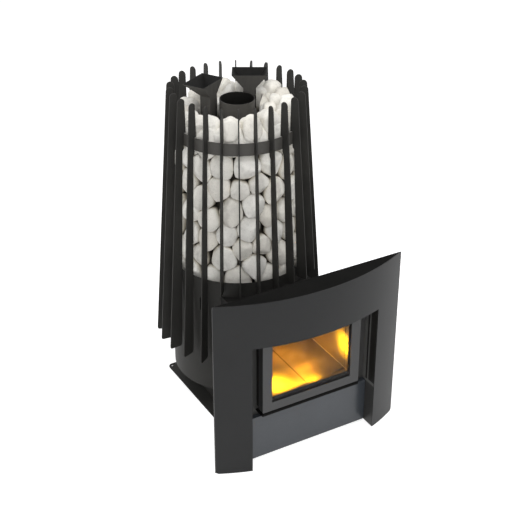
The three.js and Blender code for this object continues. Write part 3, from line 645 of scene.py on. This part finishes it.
def wall_stones(heap, rng, count, low, high, size, sink=0.0, painted_shade=0.0, tall=0.064, rounds=260):
    """A layer of fitted stones against the cage, each shaped by its neighbours."""
    mean = WALL_R - sink
    width = 2 * math.pi * mean
    start = [(rng.uniform(0, width), rng.uniform(low, high)) for _ in range(count)]
    weights = np.array([rng.uniform(*size) for _ in range(count)])
    centres = relax(np.array(start), weights, width, low, high, rounds)
    gap = centres[None, :, :] - centres[:, None, :]
    gap[:, :, 0] -= width * np.round(gap[:, :, 0] / width)
    for i in range(count):
        outline = fitted_outline(neighbours(i, gap, weights), tall)
        half = rng.uniform(*WALL_HALF)
        lumps = noise_start(rng)
        facets = broken_faces(rng, half, count=5, spread=0.34, outward=1.0)
        points, faces = pebble(outline, half, lumps, facets, square=0.5)
        tilt = (rng.uniform(-WALL_TILT, WALL_TILT), rng.uniform(-WALL_TILT, WALL_TILT))
        back = rng.uniform(0, WALL_BACK) + sink
        placed = []
        joint_shade = []
        for p in points:
            s, z = centres[i][0] + p.x, centres[i][1] + p.y
            # painted shade: darker towards a stone's side and back, none near the top of the heap
            shade_below_top = min(1.0, max(0.0, (UNSHADED_Z - z) / UNSHADED_FADE))
            joint_shade.append(shade_below_top * min(1.0, max(painted_shade, (JOINT_SHADE_START - p.z / half) / JOINT_SHADE_FADE)))
            depth = p.z + tilt[0] * p.x + tilt[1] * p.y - half - back
            r = heap_limit(z) + min(depth, -back - SKIN)
            a = s / mean
            placed.append(Vector((r * math.sin(a), -r * math.cos(a), max(z, STONE_FLOOR + FLOOR_GAP))))
        heap.add(placed, [f[::-1] for f in faces], rng.random(), joint_shade)


def free_stone(heap, rng, place, size, turn):
    """A single stone that lies on the heap."""
    lumps = noise_start(rng)
    phase = [rng.uniform(0.9, 1.1) for _ in range(3)]

    def outline(a):
        oval = LOOSE_OVAL * math.cos(2 * a + phase[0] * 6)
        return size[0] * (1 + oval + LOOSE_CORNERS * math.cos(3 * a + phase[1] * 9))

    facets = broken_faces(rng, size[0], count=9, spread=1.0, outward=0.0)
    points, faces = pebble(outline, size[1], lumps, facets, square=0.72)
    c, s = math.cos(turn), math.sin(turn)
    lean = rng.uniform(-LOOSE_LEAN, LOOSE_LEAN)
    placed = []
    for p in points:
        x, y, z = c * p.x - s * p.y, s * p.x + c * p.y, p.z
        x, z = x * math.cos(lean) + z * math.sin(lean), z * math.cos(lean) - x * math.sin(lean)
        placed.append(Vector((x, y, z)) + Vector(place))
    heap.add(placed, faces, rng.random(), [0.0] * len(points))


def clear_of_tubes(point):
    """Keeps a point of a stone out of both water tubes, pushed away from the flue."""
    for side in (-1, 1):
        tube = Vector((side * FUNNEL[0], FUNNEL[1], 0))
        core = TUBE_PUSH * tube
        flat = Vector((point.x, point.y, 0))
        if (flat - tube).length < TUBE_CLEAR:
            away = (flat - core).normalized()
            along = (core - tube).dot(away)
            reach = math.sqrt(along ** 2 + TUBE_CLEAR ** 2 - (core - tube).length_squared) - along
            place = core + away * reach
            point = Vector((place.x, place.y, point.z))
    return point


def pile_stones():
    """Outer and inner layer, loose stones, and a row that ends the outer layer above the hoop."""
    rng = random.Random(HEAP_SEED)
    heap = Heap()
    wall_stones(heap, rng, 118, low=0.512, high=0.990, size=(0.064, 0.100), tall=0.057)
    # inner layer: painted dark all over as shade
    wall_stones(heap, rng, 56, low=0.53, high=0.98, size=(0.085, 0.11), sink=0.058, painted_shade=0.9)
    for x, y, z, half in CROWN:
        free_stone(heap, rng, (x, y, z), (half, LOOSE_FLAT * half), rng.uniform(0, LOOSE_TURN))
    for i in range(RING_COUNT):
        a = 2 * math.pi * (i + RING_SHIFT) / RING_COUNT
        place = (RING_R * math.sin(a), -RING_R * math.cos(a), RING_Z)
        free_stone(heap, rng, place, RING_SIZE, rng.uniform(0, LOOSE_TURN))
    for z, turn in INNER_ROWS:
        for x, y, half in INNER:
            place = (x, y, z + rng.uniform(-INNER_UNEVEN, INNER_UNEVEN))
            free_stone(heap, rng, place, (half, LOOSE_FLAT * half), turn + rng.uniform(0, LOOSE_TURN))
    row = random.Random(ROW_SEED)
    wall_stones(
        heap, row, 17, low=1.031, high=1.043, size=(0.066, 0.080), sink=0.003, tall=0.036, rounds=120)
    return heap


def build_stones(material):
    """The heap as one mesh, which takes the place of the part's solid heap."""
    heap = pile_stones()
    mesh = bpy.data.meshes.new("stone_heap")
    mesh.from_pydata([clear_of_tubes(p) for p in heap.points], [], heap.faces)
    for name, numbers in (("tone", heap.tones), ("joint_shade", heap.joint_shade)):
        mesh.attributes.new(name, "FLOAT", "POINT").data.foreach_set("value", numbers)
    mesh.polygons.foreach_set("use_smooth", [True] * len(mesh.polygons))
    mesh.update()
    stones = bpy.data.objects.new("stone_heap", mesh)
    scene.collection.objects.link(stones)
    mesh.materials.append(material)
    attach(stones, "stove")
    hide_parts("stones")


# Light
def aim(lamp, place, target):
    """Puts a lamp in its place and turns it to the target."""
    lamp.location = place
    lamp.rotation_mode = "QUATERNION"
    lamp.rotation_quaternion = (Vector(target) - Vector(place)).to_track_quat("-Z", "Y")


def area(name, place, target, size, power, glint=False):
    """Studio lamp; with glint, gloss shows it too."""
    data = bpy.data.lights.new(name, "AREA")
    data.size = size
    data.energy = power
    lamp = bpy.data.objects.new(name, data)
    aim(lamp, place, target)
    lamp.visible_glossy = glint
    scene.collection.objects.link(lamp)


def ember(name, place, power, radius=0.012, kind="POINT", colour=GLOW):
    """Fire lamp, which lights the lining and isn't seen itself."""
    data = bpy.data.lights.new(name, kind)
    data.energy = power
    data.shadow_soft_size = radius
    data.color = colour
    lamp = bpy.data.objects.new(name, data)
    lamp.location = place
    lamp.visible_camera = False
    lamp.visible_glossy = False
    lamp.visible_transmission = False
    scene.collection.objects.link(lamp)
    return lamp


def flame(name, place, target, power, cone):
    """Patch of flame light on the lining around the target, soft to its edge."""
    lamp = ember(name, place, power, kind="SPOT", colour=FLAME)
    lamp.data.spot_size = math.radians(cone)
    lamp.data.spot_blend = 1.0
    aim(lamp, place, target)


def make_world():
    """Soft sky for light, plain white where it is seen."""
    world = bpy.data.worlds.new("studio")
    world.use_nodes = True
    scene.world = world
    t = Tree(world.node_tree)
    direction = t.add("ShaderNodeTexCoord").outputs["Generated"]
    up = t.add("ShaderNodeSeparateXYZ", {0: direction}).outputs["Z"]
    sky = ramp(t, up, [(0.0, grey(0.5)), (0.35, grey(0.42)), (1.0, grey(0.4))])
    light = t.add("ShaderNodeBackground", {"Color": sky, "Strength": 1.0}).outputs[0]
    white = t.add("ShaderNodeBackground", {"Color": WHITE, "Strength": 1.0}).outputs[0]
    mix = t.add("ShaderNodeMixShader", {0: seen_directly(t), 1: light, 2: white})
    t.link(mix.outputs[0], t.add("ShaderNodeOutputWorld").inputs["Surface"])


def make_floor():
    """Pale floor that takes the shadow and is seen as white."""
    mesh = bpy.data.meshes.new("floor")
    r = FLOOR_SIZE
    mesh.from_pydata([(-r, -r, 0), (r, -r, 0), (r, r, 0), (-r, r, 0)], [], [(0, 1, 2, 3)])
    floor = bpy.data.objects.new("floor", mesh)
    floor.location.z = -FLOOR_DROP
    scene.collection.objects.link(floor)
    material, t = new_material("pale_floor")
    matt = t.add("ShaderNodeBsdfDiffuse", {"Color": (0.9, 0.9, 0.9, 1)}).outputs[0]
    glow = t.add("ShaderNodeEmission", {"Color": WHITE, "Strength": FLOOR_GLOW}).outputs[0]
    both = t.add("ShaderNodeAddShader", {0: matt, 1: glow}).outputs[0]
    surface(t, t.add("ShaderNodeMixShader", {0: seen_directly(t), 1: matt, 2: both}).outputs[0])
    mesh.materials.append(material)


def make_lamps():
    area("key", (-1.7, -3.3, 2.6), target=(0, -0.1, 0.7), size=2.4, power=66)
    area("fill", (2.8, -2.2, 1.7), target=(0, -0.1, 0.6), size=2.4, power=14)
    area("top", (0.2, -0.6, 3.6), target=(0, -0.1, 0.6), size=2.2, power=46)
    area("back", (-2.6, 1.6, 2.2), target=(0, 0, 0.9), size=1.4, power=30, glint=True)
    flame("fire_left", (-0.064, -0.384, 0.280), target=(-0.074, -0.384, 0.197), power=10.0, cone=115)
    flame("fire_edge", (0.030, -0.418, 0.247), target=(0.036, -0.418, 0.200), power=2.6, cone=115)
    flame("fire_right", (0.106, -0.440, 0.320), target=(0.157, -0.434, 0.320), power=3.2, cone=108)
    ember("fire_glow", (0.046, -0.340, 0.240), power=0.65)
    ember("fire_back", (0.034, -0.235, 0.246), power=0.34)
    ember("fire_deep", (0.0, -0.05, 0.33), power=0.14, radius=0.05)


make_camera()
make_world()
make_floor()
make_lamps()

SMOOTH = smooth_group()
black = paint(
    "black_paint", (0.028, 0.0275, 0.0256), (0.036, 0.0352, 0.0328), rough=0.55, grain=0.06, specular=0.12)
# matt paint: a darker, duller copy of the black paint, used as painted shade
matt = paint(
    "matt_shade_paint", (0.0055, 0.0055, 0.0053), (0.0085, 0.0084, 0.008), rough=0.8, grain=0.08, specular=0.04)
warm_black = paint(
    "warm_black_paint", (0.062, 0.059, 0.0535), (0.073, 0.0695, 0.0635), rough=0.5, grain=0.06, specular=0.3)
satin = paint(
    "satin_paint", (0.0105, 0.0108, 0.0112), (0.0130, 0.0134, 0.0139), rough=0.36, grain=0.03, specular=0.22)
door_paint = paint(
    "door_paint", (0.024, 0.0242, 0.0248), (0.030, 0.0303, 0.031), rough=0.36, grain=0.03, specular=0.45)
plate_paint = paint(
    "plate_paint", (0.052, 0.052, 0.051), (0.062, 0.062, 0.060), rough=0.45, grain=0.03, specular=0.3)
panel_paint = paint(
    "panel_paint", (0.039, 0.0445, 0.052), (0.045, 0.051, 0.0595), rough=0.24, grain=0.015, specular=0.5)
steel = metal("mill_steel", (0.16, 0.15, 0.14), (0.27, 0.25, 0.23), rough=0.5, stretch=(1, 0.08, 1))
iron = metal("cast_iron", (0.05, 0.048, 0.045), (0.09, 0.086, 0.08), rough=0.75, grain=0.5)
bright = metal("bright_steel", (0.42, 0.42, 0.41), (0.55, 0.55, 0.54), rough=0.35, stretch=(0.1, 1, 1))

dress(["base_plate", "leg_back_left", "leg_back_right", "ash_box"], black)
dress(["body_shell"], black, bevel=0.0004)
dress(sorted(n for n in nodes if n.startswith("slat_")) + ["glass_retainer"], black, bevel=0.0003)
dress(["hoop"], warm_black, bevel=0.0004)
dress(["flue_pipe"], flue_material(), bevel=0.0004)
dress(["funnel_left", "funnel_right"], funnel_material(), bevel=0.0004)
dress(["front_plate"], plate_paint)
# painted shade: the portal's top and the hearth lip under the door take the darker matt paint
dress(["portal_top"], matt)
dress(["hearth_lip"], matt, bevel=0.0008)
dress(["portal_front", "portal_soffit"], satin, bevel=0.0008)
dress(["portal_return_left", "portal_return_right"], return_material())
dress(["door_frame"], door_paint, bevel=0.0008)
dress(["door_glass"], glass_material(), bevel=0.0005)
dress(["door_catch"], bright, bevel=0.0003)
dress(["rope_seal", "glass_seal"], rope_material(), bevel=0.001)
dress(["drawer_front"], panel_paint, bevel=0.0008)
dress(["ash_tray", "hinge_bracket_lower", "hinge_bracket_upper", "flame_baffle"], steel, bevel=0.0004)
dress(["hearth", "firebox", "fuel_tunnel", "mouth_collar"], lined_material(), bevel=0)
dress(["grate"], iron, bevel=0)
build_stones(stone_material())
